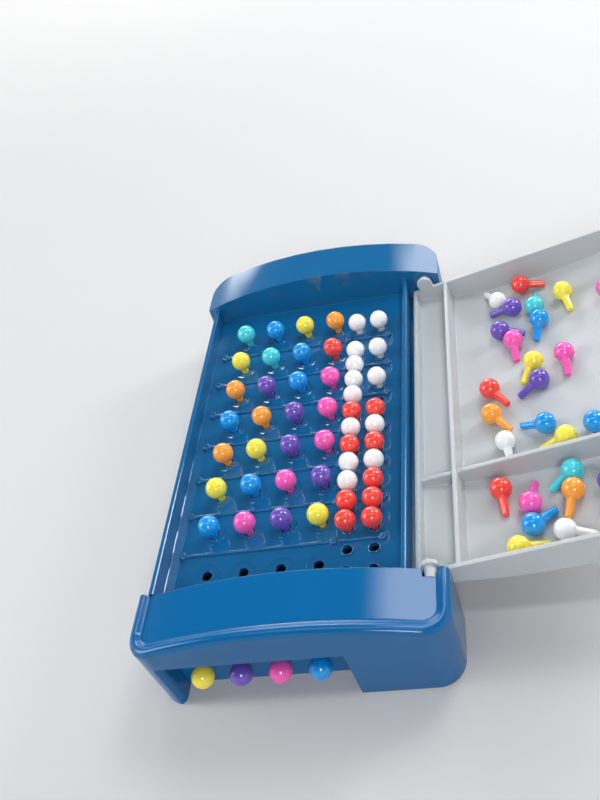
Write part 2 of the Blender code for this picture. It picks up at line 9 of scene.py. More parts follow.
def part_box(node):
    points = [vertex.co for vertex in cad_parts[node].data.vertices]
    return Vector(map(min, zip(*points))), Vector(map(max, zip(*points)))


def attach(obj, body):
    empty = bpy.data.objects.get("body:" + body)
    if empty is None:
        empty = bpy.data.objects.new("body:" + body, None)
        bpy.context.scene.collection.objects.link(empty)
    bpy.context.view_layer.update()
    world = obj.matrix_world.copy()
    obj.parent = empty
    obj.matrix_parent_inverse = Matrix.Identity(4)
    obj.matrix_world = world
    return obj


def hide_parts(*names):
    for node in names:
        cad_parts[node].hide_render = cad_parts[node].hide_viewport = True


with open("model.json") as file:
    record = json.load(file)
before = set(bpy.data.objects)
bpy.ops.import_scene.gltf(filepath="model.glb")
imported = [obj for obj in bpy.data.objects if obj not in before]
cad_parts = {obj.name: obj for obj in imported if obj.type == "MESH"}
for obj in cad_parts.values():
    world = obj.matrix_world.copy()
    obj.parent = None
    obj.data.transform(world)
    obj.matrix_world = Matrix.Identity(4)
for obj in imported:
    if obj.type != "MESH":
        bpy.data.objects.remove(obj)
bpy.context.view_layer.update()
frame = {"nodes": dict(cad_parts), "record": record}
record = frame["record"]
nodes = frame["nodes"]


def newGroup(name, inputs, outputs):
    group = bpy.data.node_groups.new(name, "ShaderNodeTree")
    for socketName, socketType, value in inputs:
        socket = group.interface.new_socket(socketName, in_out="INPUT", socket_type=socketType)
        socket.default_value = value
    for socketName, socketType in outputs:
        group.interface.new_socket(socketName, in_out="OUTPUT", socket_type=socketType)
    return group, group.nodes.new("NodeGroupInput"), group.nodes.new("NodeGroupOutput")


def addNode(tree, kind, links=(), **settings):
    node = tree.nodes.new(kind)
    for key, value in settings.items():
        setattr(node, key, value)
    for source, target in links:
        if isinstance(source, (int, float, tuple)):
            node.inputs[target].default_value = source
        else:
            tree.links.new(source, node.inputs[target])
    return node


def addGroup(tree, group, given):
    node = tree.nodes.new("ShaderNodeGroup")
    node.node_tree = group
    for socketName, value in given.items():
        node.inputs[socketName].default_value = value
    return node


def maths(tree, operation, first, second=0.0, third=0.0, clamp=False):
    given = [(first, 0), (second, 1), (third, 2)]
    node = addNode(tree, "ShaderNodeMath", given, operation=operation, use_clamp=clamp)
    return node.outputs[0]


def noise(tree, place, scale, detail, roughness=0.5):
    given = [(place, "Vector"), (scale, "Scale"), (detail, "Detail"), (roughness, "Roughness")]
    return addNode(tree, "ShaderNodeTexNoise", given).outputs["Fac"]


def ramp(tree, value, low, high, ends=(0.0, 1.0), shape="LINEAR"):
    given = [(value, "Value"), (low, "From Min"), (high, "From Max")]
    given += [(ends[0], "To Min"), (ends[1], "To Max")]
    return addNode(tree, "ShaderNodeMapRange", given, interpolation_type=shape).outputs[0]


def offsetBy(tree, place, offset):
    given = [(place, 0), (offset, 1)]
    return addNode(tree, "ShaderNodeVectorMath", given, operation="ADD").outputs[0]


skinValues = {
    "drift": (38.0, 3.0, 0.55),  # scale, detail and roughness of the noise behind each
    "haze": (140.0, 4.0, 0.6),
    "grainDetail": 2.0,
    "driftGain": 2.0,
}


def buildMouldedSkin():
    # the skin of a moulded plastic face: colour drift, hazy patches and a fine grain
    inputs = [
        ("Color", "NodeSocketColor", (0.5, 0.5, 0.5, 1)),
        ("Drift", "NodeSocketFloat", 0.06),
        ("Roughness", "NodeSocketFloat", 0.2),
        ("Haze", "NodeSocketFloat", 0.1),
        ("Grain Scale", "NodeSocketFloat", 2500.0),
        ("Offset", "NodeSocketFloat", 0.0),
    ]
    outputs = [
        ("Color", "NodeSocketColor"),
        ("Roughness", "NodeSocketFloat"),
        ("Height", "NodeSocketFloat"),
    ]
    group, given, out = newGroup("mouldedSkin", inputs, outputs)
    place = addNode(group, "ShaderNodeTexCoord").outputs["Object"]
    place = offsetBy(group, place, given.outputs["Offset"])
    clouds = maths(group, "SUBTRACT", noise(group, place, *skinValues["drift"]), 0.5)
    swing = maths(group, "MULTIPLY", clouds, given.outputs["Drift"])
    bright = maths(group, "MULTIPLY_ADD", swing, skinValues["driftGain"], 1.0)
    tint = [(bright, "Value"), (given.outputs["Color"], "Color")]
    tinted = addNode(group, "ShaderNodeHueSaturation", tint).outputs["Color"]
    patches = maths(group, "SUBTRACT", noise(group, place, *skinValues["haze"]), 0.5)
    hazed = maths(group, "MULTIPLY", patches, given.outputs["Haze"])
    rough = maths(group, "ADD", given.outputs["Roughness"], hazed, clamp=True)
    grain = noise(group, place, given.outputs["Grain Scale"], skinValues["grainDetail"])
    group.links.new(tinted, out.inputs["Color"])
    group.links.new(rough, out.inputs["Roughness"])
    group.links.new(grain, out.inputs["Height"])
    return group


scuffValues = {
    "turns": (0.4, 1.5, 2.6),  # the ways the scratches run
    "stretch": (1.0, 14.0, 4.0),
    "detail": 2.0,
    "band": (0.67, 0.74),  # where the noise turns into a scratch
}


def buildScuffs():
    # hair-fine handling scratches, as a mask
    inputs = [
        ("Scale", "NodeSocketFloat", 60.0),
        ("Amount", "NodeSocketFloat", 0.4),
        ("Offset", "NodeSocketFloat", 0.0),
    ]
    group, given, out = newGroup("handlingScuffs", inputs, [("Mask", "NodeSocketFloat")])
    place = addNode(group, "ShaderNodeTexCoord").outputs["Object"]
    total = None
    for turn in scuffValues["turns"]:
        mapping = [
            (place, "Vector"),
            ((0.0, 0.0, turn), "Rotation"),
            (scuffValues["stretch"], "Scale"),
        ]
        turned = addNode(group, "ShaderNodeMapping", mapping).outputs[0]
        moved = offsetBy(group, turned, given.outputs["Offset"])
        streak = noise(group, moved, given.outputs["Scale"], scuffValues["detail"])
        line = ramp(group, streak, *scuffValues["band"])
        total = line if total is None else maths(group, "MAXIMUM", total, line)
    mask = maths(group, "MULTIPLY", total, given.outputs["Amount"])
    group.links.new(mask, out.inputs["Mask"])
    return group


# how the edges that get wear and a painted highlight are found and sharpened
wearAndHighlightValues = {"samples": 6, "gain": 5.0}


def buildEdgeWearAndHighlight():
    # where two faces meet: a worn, slightly paler line that also paints a highlight along the
    # edge, and the rounded normal of a moulded edge
    inputs = [("Radius", "NodeSocketFloat", 0.0004), ("Amount", "NodeSocketFloat", 0.3)]
    outputs = [("Mask", "NodeSocketFloat"), ("Normal", "NodeSocketVector")]
    group, given, out = newGroup("edgeWear", inputs, outputs)
    radius = [(given.outputs["Radius"], "Radius")]
    rounded = addNode(group, "ShaderNodeBevel", radius, samples=wearAndHighlightValues["samples"]).outputs[0]
    plain = addNode(group, "ShaderNodeNewGeometry").outputs["Normal"]
    both = [(rounded, 0), (plain, 1)]
    dot = addNode(group, "ShaderNodeVectorMath", both, operation="DOT_PRODUCT").outputs["Value"]
    bend = maths(group, "SUBTRACT", 1.0, dot, clamp=True)
    strong = maths(group, "MULTIPLY", bend, wearAndHighlightValues["gain"], clamp=True)
    mask = maths(group, "MULTIPLY", strong, given.outputs["Amount"])
    group.links.new(mask, out.inputs["Mask"])
    group.links.new(rounded, out.inputs["Normal"])
    return group


mouldedSkin = buildMouldedSkin()
handlingScuffs = buildScuffs()
edgeWear = buildEdgeWearAndHighlight()
print("groups: mouldedSkin, handlingScuffs, edgeWear")


def plastic(name, values):
    # one finished plastic: skin, scuffs and worn edges with painted highlights round a Principled
    # shader
    material = bpy.data.materials.new(name)
    material.use_nodes = True
    tree = material.node_tree
    shader = tree.nodes["Principled BSDF"]
    skinGiven = {
        "Color": (*values["color"], 1),
        "Drift": values["drift"],
        "Roughness": values["roughness"],
        "Haze": values["haze"],
        "Grain Scale": values["grainScale"],
    }
    skin = addGroup(tree, mouldedSkin, skinGiven)
    scuffGiven = {"Scale": values["scuffScale"], "Amount": values["scuffs"]}
    scuffs = addGroup(tree, handlingScuffs, scuffGiven)
    edgeGiven = {"Radius": values["edgeRadius"], "Amount": values["edgeAmount"]}
    edges = addGroup(tree, edgeWear, edgeGiven)
    if values["perPiece"]:
        chance = addNode(tree, "ShaderNodeObjectInfo").outputs["Random"]
        tree.links.new(chance, skin.inputs["Offset"])
        tree.links.new(chance, scuffs.inputs["Offset"])
    # painted highlight: the edges are mixed towards a paler colour, partly as wear
    wornHighlight = addNode(tree, "ShaderNodeMix", data_type="RGBA")
    tree.links.new(edges.outputs["Mask"], wornHighlight.inputs["Factor"])
    tree.links.new(skin.outputs["Color"], wornHighlight.inputs[6])
    wornHighlight.inputs[7].default_value = (*values["edgeColor"], 1)
    tree.links.new(wornHighlight.outputs[2], shader.inputs["Base Color"])
    rough = maths(tree, "ADD", skin.outputs["Roughness"], scuffs.outputs["Mask"], clamp=True)
    shader.inputs["Coat Weight"].default_value = values["coat"]
    if values["sideHaze"]:
        # the long side walls leave the mould duller than the faces round them
        facing = addNode(tree, "ShaderNodeTexCoord").outputs["Normal"]
        across = addNode(tree, "ShaderNodeSeparateXYZ", [(facing, 0)]).outputs["X"]
        side = ramp(tree, maths(tree, "ABSOLUTE", across), *values["sideBand"])
        haze = maths(tree, "MULTIPLY", side, values["sideHaze"])
        rough = maths(tree, "ADD", rough, haze, clamp=True)
        glossy = maths(tree, "SUBTRACT", 1.0, side)
        coat = maths(tree, "MULTIPLY", glossy, values["coat"])
        tree.links.new(coat, shader.inputs["Coat Weight"])
    tree.links.new(rough, shader.inputs["Roughness"])
    relief = [
        (skin.outputs["Height"], "Height"),
        (edges.outputs["Normal"], "Normal"),
        (values["grainStrength"], "Strength"),
        (values["grainDepth"], "Distance"),
    ]
    bump = addNode(tree, "ShaderNodeBump", relief)
    tree.links.new(bump.outputs["Normal"], shader.inputs["Normal"])
    shader.inputs["IOR"].default_value = values["ior"]
    shader.inputs["Subsurface Weight"].default_value = values["glow"]
    shader.inputs["Subsurface Radius"].default_value = (1, 1, 1)
    shader.inputs["Subsurface Scale"].default_value = values["glowDepth"]
    shader.inputs["Coat Roughness"].default_value = values["coatRoughness"]
    return material


caseFinish = {
    "color": (0.006, 0.124, 0.312),
    # the paler colour of worn edges, which also paints a highlight along them
    "edgeColor": (0.030, 0.220, 0.470),
    "drift": 0.10,
    "roughness": 0.045,
    "haze": 0.03,
    "grainScale": 2600.0,
    "grainStrength": 0.05,
    "grainDepth": 0.00003,
    "scuffScale": 26.0,
    "scuffs": 0.06,
    "edgeRadius": 0.0005,
    # how strongly the edges are painted paler, as wear and as highlight
    "edgeAmount": 0.45,
    "ior": 1.50,
    "glow": 0.0,
    "glowDepth": 0.001,
    "coat": 0.6,
    "coatRoughness": 0.03,
    "perPiece": False,
    "sideHaze": 0.0,
    "sideBand": (0.6, 0.95),  # how far a face has turned sideways when the haze sets in
}
boardFinish = {**caseFinish, "sideHaze": 0.30}
hoodFinish = {
    **caseFinish,
    "color": (0.003, 0.120, 0.330),
    "drift": 0.08,
    "roughness": 0.09,
    "ior": 1.40,
    "coat": 0.0,
}
trimFinish = {
    **caseFinish,
    "color": (0.008, 0.130, 0.320),
    "roughness": 0.10,
    "edgeAmount": 0.25,
}
trayFinish = {
    **caseFinish,
    "color": (0.520, 0.550, 0.575),
    # paler edges: wear and a painted highlight
    "edgeColor": (0.720, 0.750, 0.770),
    "drift": 0.05,
    "roughness": 0.36,
    "haze": 0.12,
    "grainScale": 3200.0,
    "grainStrength": 0.22,
    "scuffs": 0.14,
    "edgeAmount": 0.35,
    "ior": 1.45,
    "coat": 0.0,
}
pegFinish = {
    **caseFinish,
    "drift": 0.06,
    "roughness": 0.16,
    "haze": 0.06,
    "grainScale": 5200.0,
    "scuffScale": 160.0,
    "edgeAmount": 0.12,
    "edgeRadius": 0.0003,
    "ior": 1.47,
    "glow": 0.08,
    "glowDepth": 0.0015,
    "coat": 0.5,
    "perPiece": True,
    "wornShare": 0.4,  # how far a worn edge, with its painted highlight, has gone to white
}
pegColors = {
    "teal": (0.060, 0.640, 0.740),
    "blue": (0.004, 0.310, 0.800),
    "yellow": (0.930, 0.800, 0.070),
    "orange": (0.960, 0.360, 0.045),
    "red": (0.920, 0.065, 0.050),
    "purple": (0.145, 0.080, 0.470),
    "pink": (0.940, 0.110, 0.480),
    "white": (0.860, 0.865, 0.880),
}
boardPlastic = plastic("boardPlastic", boardFinish)
hoodPlastic = plastic("hoodPlastic", hoodFinish)
trimPlastic = plastic("trimPlastic", trimFinish)
trayPlastic = plastic("trayPlastic", trayFinish)
pegPlastics = {}
for colorName, color in pegColors.items():
    share = pegFinish["wornShare"]
    pale = tuple((1 - share) * channel + share for channel in color)
    finish = {**pegFinish, "color": color, "edgeColor": pale}
    pegPlastics[colorName] = plastic(colorName + "Peg", finish)
print("materials:", len(bpy.data.materials))


# what the three large mouldings share: rounded edges and smooth arches
shellValues = {
    "weld": 0.000002,
    "flatten": math.radians(0.3),
    "edgeRound": 0.00028,
    "edgeSteps": 2,
    "sharpAngle": math.radians(28),
    "rodSides": 40,
    "turnedSides": 32,
}


def linked(name, bm):
    mesh = bpy.data.meshes.new(name)
    bmesh.ops.recalc_face_normals(bm, faces=bm.faces)
    bm.to_mesh(mesh)
    bm.free()
    piece = bpy.data.objects.new(name, mesh)
    bpy.context.scene.collection.objects.link(piece)
    return piece


def cadCopy(nodeName, name):
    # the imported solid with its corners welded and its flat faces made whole
    bm = bmesh.new()
    bm.from_mesh(nodes[nodeName].data)
    bmesh.ops.remove_doubles(bm, verts=bm.verts, dist=shellValues["weld"])
    bmesh.ops.dissolve_limit(
        bm,
        angle_limit=shellValues["flatten"],
        verts=bm.verts,
        edges=bm.edges,
        use_dissolve_boundaries=False,
    )
    for face in bm.faces:
        face.material_index = 0
    return linked(name, bm)


def carve(piece, *cutters):
    # each cutter is taken out of the piece, then thrown away
    for cutter in cutters:
        step = piece.modifiers.new("cut", "BOOLEAN")
        step.operation = "DIFFERENCE"
        step.solver = "EXACT"
        step.object = cutter
    bpy.context.view_layer.update()
    carved = piece.evaluated_get(bpy.context.evaluated_depsgraph_get())
    done = bpy.data.meshes.new_from_object(carved)
    piece.modifiers.clear()
    piece.data = done
    for cutter in cutters:
        bpy.data.objects.remove(cutter, do_unlink=True)


def dress(piece, body, nodeName, material):
    mesh = piece.data
    mesh.materials.clear()
    mesh.materials.append(material)
    mesh.shade_smooth()
    bevel = piece.modifiers.new("roundedEdges", "BEVEL")
    bevel.limit_method = "ANGLE"
    bevel.angle_limit = shellValues["sharpAngle"]
    bevel.width = shellValues["edgeRound"]
    bevel.segments = shellValues["edgeSteps"]
    bevel.harden_normals = True
    bevel.use_clamp_overlap = True
    weighted = piece.modifiers.new("weightedNormals", "WEIGHTED_NORMAL")
    weighted.keep_sharp = True
    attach(piece, body)
    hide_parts(nodeName)


def addBox(bm, low, high):
    low, high = Vector(low), Vector(high)
    size = Matrix.Diagonal((*(high - low), 1))
    bmesh.ops.create_cube(bm, size=1, matrix=Matrix.Translation((low + high) / 2) @ size)


def addRod(bm, start, end, radius):
    start, end = Vector(start), Vector(end)
    turn = (end - start).to_track_quat("Z", "Y").to_matrix().to_4x4()
    middle = Matrix.Translation((start + end) / 2)
    bmesh.ops.create_cone(
        bm,
        cap_ends=True,
        segments=shellValues["rodSides"],
        radius1=radius,
        radius2=radius,
        depth=(end - start).length,
        matrix=middle @ turn,
    )


def addTurned(bm, outline, places, ring=False):
    # an outline of (radius, height) turned round Z at each place; a ring closes on itself
    sides = shellValues["turnedSides"]
    turns = [math.tau * i / sides for i in range(sides)]
    for x, y, z in places:
        rows = []
        for radius, height in outline:
            row = []
            for turn in turns[:1] if radius == 0 else turns:
                spot = (x + radius * math.cos(turn), y + radius * math.sin(turn), z + height)
                row.append(bm.verts.new(spot))
            rows.append(row)
        pairs = list(zip(rows, rows[1:]))
        if ring:
            pairs.append((rows[-1], rows[0]))
        for upper, lower in pairs:
            for i in range(sides):
                j = (i + 1) % sides
                corners = [
                    upper[i % len(upper)],
                    upper[j % len(upper)],
                    lower[j % len(lower)],
                    lower[i % len(lower)],
                ]
                kept = list(dict.fromkeys(corners))  # a point on the axis gives a triangle
                if len(kept) > 2:
                    bm.faces.new(kept)


# outlines are (radius, height over the deck), and the rail's is (half width, height)
boardValues = {
    "deck": 0.027,
    "rows": 8,
    "columns": 4,
    "firstColumn": -0.0351,
    "columnPitch": 0.0144,
    "firstRow": 0.063,
    "rowPitch": 0.018,
    "keyColumn": 0.0187,
    "keyPitch": (0.010, 0.009),
    "keyShift": 0.0005,
    "dishTop": 0.0006,
    "dish": [
        (0.0054, 0.0006),
        (0.0050, 0.0),
        (0.0046, -0.00017),
        (0.0040, -0.00027),
        (0.0020, -0.00032),
    ],
    "holeRadius": 0.0020,
    "keyHoleRadius": 0.00193,
    "keyHoleTop": 0.001,
    "holeDepth": 0.0035,
    "keyRing": [
        (0.00270, -0.0004),
        (0.00262, 0.0002),
        (0.00254, 0.00048),
        (0.0024, 0.0006),
        (0.0021, 0.0006),
    ],
    "keyRingBore": [(0.00194, 0.0005), (0.00190, -0.0004)],
    "railEnds": (-0.0459, 0.0134, 0.0319),  # a knob at each, the rail from the first to the last
    "railOutline": [
        (0.0007, -0.0003),
        (0.0007, 0.0005),
        (0.00062, 0.00074),
        (0.0005, 0.00088),
        (0.0003, 0.00098),
    ],
    "railTop": 0.001,
    "knob": [
        (0.0, 0.00118),
        (0.0007, 0.00128),
        (0.0010, 0.00150),
        (0.00135, 0.00145),
        (0.00152, 0.0011),
        (0.0016, -0.0003),
        (0.0, -0.0003),
    ],
    "trimSharp": math.radians(60),
}


def rowHeight(row):
    return boardValues["firstRow"] - row * boardValues["rowPitch"]


def codePlaces():
    values = boardValues
    return [
        (values["firstColumn"] + column * values["columnPitch"], rowHeight(row), values["deck"])
        for row in range(values["rows"])
        for column in range(values["columns"])
    ]


def keyPlaces():
    # four to a row, in two columns of two
    values = boardValues
    pitchX, pitchY = values["keyPitch"]
    places = []
    for row in range(values["rows"]):
        for slot in range(4):
            x = values["keyColumn"] + slot % 2 * pitchX
            y = rowHeight(row) + values["keyShift"] + (0.5 - slot // 2) * pitchY
            places.append((x, y, values["deck"]))
    return places


def buildBoard():
    # shallow dishes round the code holes, and rounder holes than the solid's
    values = boardValues
    board = cadCopy("base_board", "pegBoard")
    low = -values["holeDepth"]
    dishes = bmesh.new()
    hole = [(values["holeRadius"], low), (0, low)]
    addTurned(dishes, [(0, values["dishTop"])] + values["dish"] + hole, codePlaces())
    bores = bmesh.new()
    radius, top = values["keyHoleRadius"], values["keyHoleTop"]
    addTurned(bores, [(0, top), (radius, top), (radius, low), (0, low)], keyPlaces())
    carve(board, linked("codeDishes", dishes), linked("keyBores", bores))
    dress(board, "case", "base_board", boardPlastic)


def buildTrim():
    # rings round the key holes, and the thin rails between the rows with dimpled knobs
    values = boardValues
    deck, ends, outline = values["deck"], values["railEnds"], values["railOutline"]
    bm = bmesh.new()
    addTurned(bm, values["keyRing"] + values["keyRingBore"], keyPlaces(), ring=True)
    mirrored = [(-across, height) for across, height in reversed(outline)]
    section = outline + [(0.0, values["railTop"])] + mirrored
    for row in range(values["rows"] - 1):
        y = rowHeight(row) - values["rowPitch"] / 2
        start, end = [
            [bm.verts.new((x, y + across, deck + height)) for across, height in section]
            for x in (ends[0], ends[-1])
        ]
        for i in range(len(section)):
            j = (i + 1) % len(section)
            bm.faces.new((start[i], start[j], end[j], end[i]))
        bm.faces.new(start)
        bm.faces.new(end)
        addTurned(bm, values["knob"], [(x, y, deck) for x in ends])
    trim = linked("boardTrim", bm)
    trim.data.materials.append(trimPlastic)
    trim.data.shade_smooth()
    trim.data.set_sharp_from_angle(angle=values["trimSharp"])
    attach(trim, "case")


hoodValues = {
    "halfWidth": 0.0565,
    "front": -0.0990,
    "back": -0.0738,
    "corner": 0.010,
    "crownTop": 0.044,
    "crownRadius": 0.180,
    "wall": 0.002,
    "outerRound": 0.0022,
    "rollRadius": 0.0020,
    "rollSlope": math.radians(65),
    "dishDepth": 0.0026,
    "sideShare": 0.8,  # the lip is this much narrower at the sides
    "recessLow": -0.0465,
    "recessHigh": 0.0194,
    "secretWall": -0.0903,
    "brow": 0.0272,
    "legRound": 0.003,
    "holes": (-0.0351, -0.0207, -0.0063, 0.0081),
    "holeHeight": 0.015,
    "holeRadius": 0.0019,
    "pin": (0.0498, 0.03235),
    "pinBore": 0.0025,
    "frontSteps": 56,
    "cornerSteps": 12,
    "lipSteps": 6,
    "legSteps": 8,
    "over": 0.001,
}


def crownHeight(x, drop):
    radius = hoodValues["crownRadius"]
    return hoodValues["crownTop"] - radius + math.sqrt(radius**2 - x**2) - drop


def hoodPlan(side, front, corner, back):
    # from the back left, round the front corners, to the back right
    values = hoodValues
    half, near = values["halfWidth"] - side, values["front"] + front
    turnX, turnY = corner - half, near + corner
    left = [(-half, back), (-half, (back + near + corner) / 2)]
    for step in range(values["cornerSteps"] + 1):
        angle = math.pi + math.pi / 2 * step / values["cornerSteps"]
        left.append((turnX + corner * math.cos(angle), turnY + corner * math.sin(angle)))
    span = 2 * (half - corner)
    steps = values["frontSteps"]
    middle = [(turnX + span * step / steps, near) for step in range(1, steps)]
    return left + middle + [(-x, y) for x, y in reversed(left)]


def archedSolid(name, rings, back, low):
    # rings of (side inset, front inset, corner, drop below the crown) over a flat foot,
    # closed by an arched floor
    bm = bmesh.new()
    foot = hoodPlan(*rings[0][:3], back)
    rows = [[bm.verts.new((x, y, low)) for x, y in foot]]
    for side, front, corner, drop in rings:
        plan = hoodPlan(side, front, corner, back)
        rows.append([bm.verts.new((x, y, crownHeight(x, drop))) for x, y in plan])
    for outer, inner in zip(rows, rows[1:]):
        for i in range(len(outer) - 1):
            bm.faces.new((outer[i], outer[i + 1], inner[i + 1], inner[i]))
    last, steps = rows[-1], hoodValues["frontSteps"]
    turnEnd = 2 + hoodValues["cornerSteps"]
    strips = []
    for i in range(turnEnd):
        start, end = last[i], last[-1 - i]
        between = []
        for step in range(1, steps):
            x = start.co.x + (end.co.x - start.co.x) * step / steps
            between.append(bm.verts.new((x, start.co.y, crownHeight(x, rings[-1][3]))))
        strips.append([start] + between + [end])
    strips.append(last[turnEnd : len(last) - turnEnd])
    for near, far in zip(strips, strips[1:]):
        for i in range(steps):
            bm.faces.new((near[i], near[i + 1], far[i + 1], far[i]))
    up, down = [row[0] for row in rows], [row[-1] for row in reversed(rows)]
    bm.faces.new(up + strips[0][1:-1] + down)
    bm.faces.new(rows[0])
    return linked(name, bm)


def rolledLip():
    # the lip rolls over from the front face and sweeps down into the dish
    values = hoodValues
    rings = []

    def addRing(inset, drop):
        share = values["sideShare"]
        rings.append((inset * share, inset, values["corner"] - inset * share, drop))

    steps = values["lipSteps"]
    outer, roll, slope = values["outerRound"], values["rollRadius"], values["rollSlope"]
    for step in range(steps + 1):
        angle = math.pi / 2 * step / steps
        addRing(outer * (1 - math.cos(angle)), outer * (1 - math.sin(angle)))
    for step in range(1, steps + 1):
        angle = slope * step / steps
        addRing(outer + roll * math.sin(angle), roll * (1 - math.cos(angle)))
    inset, drop = outer + roll * math.sin(slope), roll * (1 - math.cos(slope))
    cove = (values["dishDepth"] - drop) / (1 - math.cos(slope))
    for step in range(1, steps + 1):
        angle = slope * (1 - step / steps)
        inward = cove * (math.sin(slope) - math.sin(angle))
        addRing(inset + inward, drop + cove * (math.cos(angle) - math.cos(slope)))
    return rings


def recessCutter():
    # the recess for the secret code, open at the front and rounded into the left leg
    values = hoodValues
    over, front, soft = values["over"], values["front"], values["legRound"]
    low, high, wall = values["recessLow"], values["recessHigh"], values["secretWall"]
    outline = [(high, front - over), (high, wall), (low, wall)]
    for step in range(values["legSteps"] + 1):
        angle = math.pi / 2 * step / values["legSteps"]
        x, y = low - soft + soft * math.cos(angle), front + soft - soft * math.sin(angle)
        outline.append((x, y))
    outline.append((low - soft, front - over))
    recess = bmesh.new()
    base = recess.faces.new([recess.verts.new((x, y, -over)) for x, y in outline])
    raised = bmesh.ops.extrude_face_region(recess, geom=[base])["geom"]
    lift = [item for item in raised if isinstance(item, bmesh.types.BMVert)]
    bmesh.ops.translate(recess, verts=lift, vec=(0, 0, values["brow"] + over))
    return linked("recess", recess)


def buildHood():
    values = hoodValues
    wall, over, back = values["wall"], values["over"], values["back"]
    hood = archedSolid("codeHood", rolledLip(), back, 0.0)
    inside = (wall, wall, values["corner"] - wall, values["dishDepth"] + wall)
    hollow = archedSolid("hoodHollow", [inside], back - wall, -over)
    secretBack = values["secretWall"] + wall
    recessWalls = bmesh.new()
    nearCorner = (values["recessLow"] - wall, values["front"] - over, -2 * over)
    farCorner = (values["recessHigh"] + wall, secretBack, values["brow"] + wall)
    addBox(recessWalls, nearCorner, farCorner)
    carve(hollow, linked("recessWalls", recessWalls))
    holes = bmesh.new()
    z = values["holeHeight"]
    for x in values["holes"]:
        start, end = (x, values["secretWall"] - over, z), (x, secretBack + over, z)
        addRod(holes, start, end, values["holeRadius"])
    x, z = values["pin"]
    near, far, reach = back - wall - over, back + over, values["pinBore"]
    bore = bmesh.new()
    addRod(bore, (x, near, z), (x, far, z), reach)
    slot = bmesh.new()
    addBox(slot, (x - reach, near, z), (x + reach, far, values["crownTop"] + over))
    carve(
        hood,
        hollow,
        recessCutter(),
        linked("secretHoles", holes),
        linked("pinBore", bore),
        linked("pinSlot", slot),
    )
    dress(hood, "case", "code_hood", hoodPlastic)


buildBoard()
buildTrim()
buildHood()
dress(cadCopy("peg_tray", "storageTray"), "tray", "peg_tray", trayPlastic)
print("shells: board, trim, hood, tray")


# pegs: a ball on a tapered stem, with a small fillet where they meet
pegValues = {
    "ballRadius": 0.0042,
    "keyBallRadius": 0.0040,
    "stemReach": 0.0108,
    "stemRadius": 0.0017,
    "tipRadius": 0.0014,
    "tipRound": 0.0004,
    "tipSteps": 4,
    "filletReach": 0.0010,
    "filletWidth": 0.35,  # share of its reach that the fillet stands out from the stem
    "filletBend": 0.3,  # share of its reach at which the fillet's arc bends
    "filletSteps": 4,
    "sides": 40,
    "ballSteps": 18,
    "weld": 0.000001,
    "turnEach": 0.7,  # radians from one plugged peg to the next
}


def turnedPeg(name, ballRadius):
    # the outline runs from the top of the ball down to the tip, then is turned round Z
    values = pegValues
    neck, filletReach = values["stemRadius"], values["filletReach"]
    wide = neck + values["filletWidth"] * filletReach
    meet = math.pi - math.asin(wide / ballRadius)
    outline = []
    for step in range(values["ballSteps"] + 1):
        angle = meet * step / values["ballSteps"]
        outline.append((ballRadius * math.sin(angle), ballRadius * math.cos(angle)))
    start = outline[-1]
    corner = (neck, start[1] - values["filletBend"] * filletReach)
    end = (neck, start[1] - filletReach)
    for step in range(1, values["filletSteps"] + 1):  # the fillet is one quadratic arc
        share = step / values["filletSteps"]
        parts = ((1 - share) ** 2, 2 * share * (1 - share), share**2)
        x, z = [sum(map(math.prod, zip(parts, points))) for points in zip(start, corner, end)]
        outline.append((x, z))
    tip, soft, low = values["tipRadius"], values["tipRound"], -values["stemReach"]
    for step in range(values["tipSteps"] + 1):
        angle = math.pi / 2 * step / values["tipSteps"]
        x, z = tip - soft + soft * math.cos(angle), low + soft - soft * math.sin(angle)
        outline.append((x, z))
    outline.append((0.0, low))
    bm = bmesh.new()
    verts = [bm.verts.new((max(x, 0.0), 0.0, z)) for x, z in outline]
    edges = [bm.edges.new(pair) for pair in zip(verts, verts[1:])]
    bmesh.ops.spin(
        bm,
        geom=verts + edges,
        cent=(0, 0, 0),
        axis=(0, 0, 1),
        angle=math.tau,
        steps=values["sides"],
        use_merge=True,
        use_duplicate=False,
    )
    bmesh.ops.remove_doubles(bm, verts=bm.verts, dist=values["weld"])
    bmesh.ops.recalc_face_normals(bm, faces=bm.faces)
    mesh = bpy.data.meshes.new(name)
    bm.to_mesh(mesh)
    bm.free()
    mesh.shade_smooth()
    return mesh


ballRadii = {"code": pegValues["ballRadius"], "key": pegValues["keyBallRadius"]}
pegMeshes = {}


def pegMesh(kind, colorName):
    key = (kind, colorName)
    if key not in pegMeshes:
        pegMeshes[key] = turnedPeg(kind + colorName.capitalize(), ballRadii[kind])
        pegMeshes[key].materials.append(pegPlastics[colorName])
    return pegMeshes[key]


def standPeg(name, kind, colorName, place, body):
    peg = bpy.data.objects.new(name, pegMesh(kind, colorName))
    bpy.context.scene.collection.objects.link(peg)
    peg.matrix_world = place
    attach(peg, body)
    return peg


slotOf = {entry["node"]: entry["material_slot"] for entry in record["subparts"]}
pegNodes = [nodeName for nodeName in sorted(slotOf) if "_peg_" in nodeName]
plugged = [nodeName for nodeName in pegNodes if not nodeName.startswith("spare")]
for count, nodeName in enumerate(plugged):
    kind = "key" if nodeName.startswith("key") else "code"
    low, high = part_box(nodeName)
    middle = [(a + b) / 2 for a, b in zip(low, high)]
    if nodeName.startswith("secret"):  # these lie level, with the ball towards the front
        spot = Vector((middle[0], low[1] + ballRadii[kind], middle[2]))
        lean = Matrix.Rotation(math.pi / 2, 4, "X")
    else:
        spot = Vector((middle[0], middle[1], high[2] - ballRadii[kind]))
        lean = Matrix.Rotation(count * pegValues["turnEach"], 4, "Z")
    place = Matrix.Translation(spot) @ lean
    peg = standPeg("plugged_" + nodeName, kind, slotOf[nodeName], place, nodeName)
    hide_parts(nodeName)
print("plugged pegs:", len(plugged))


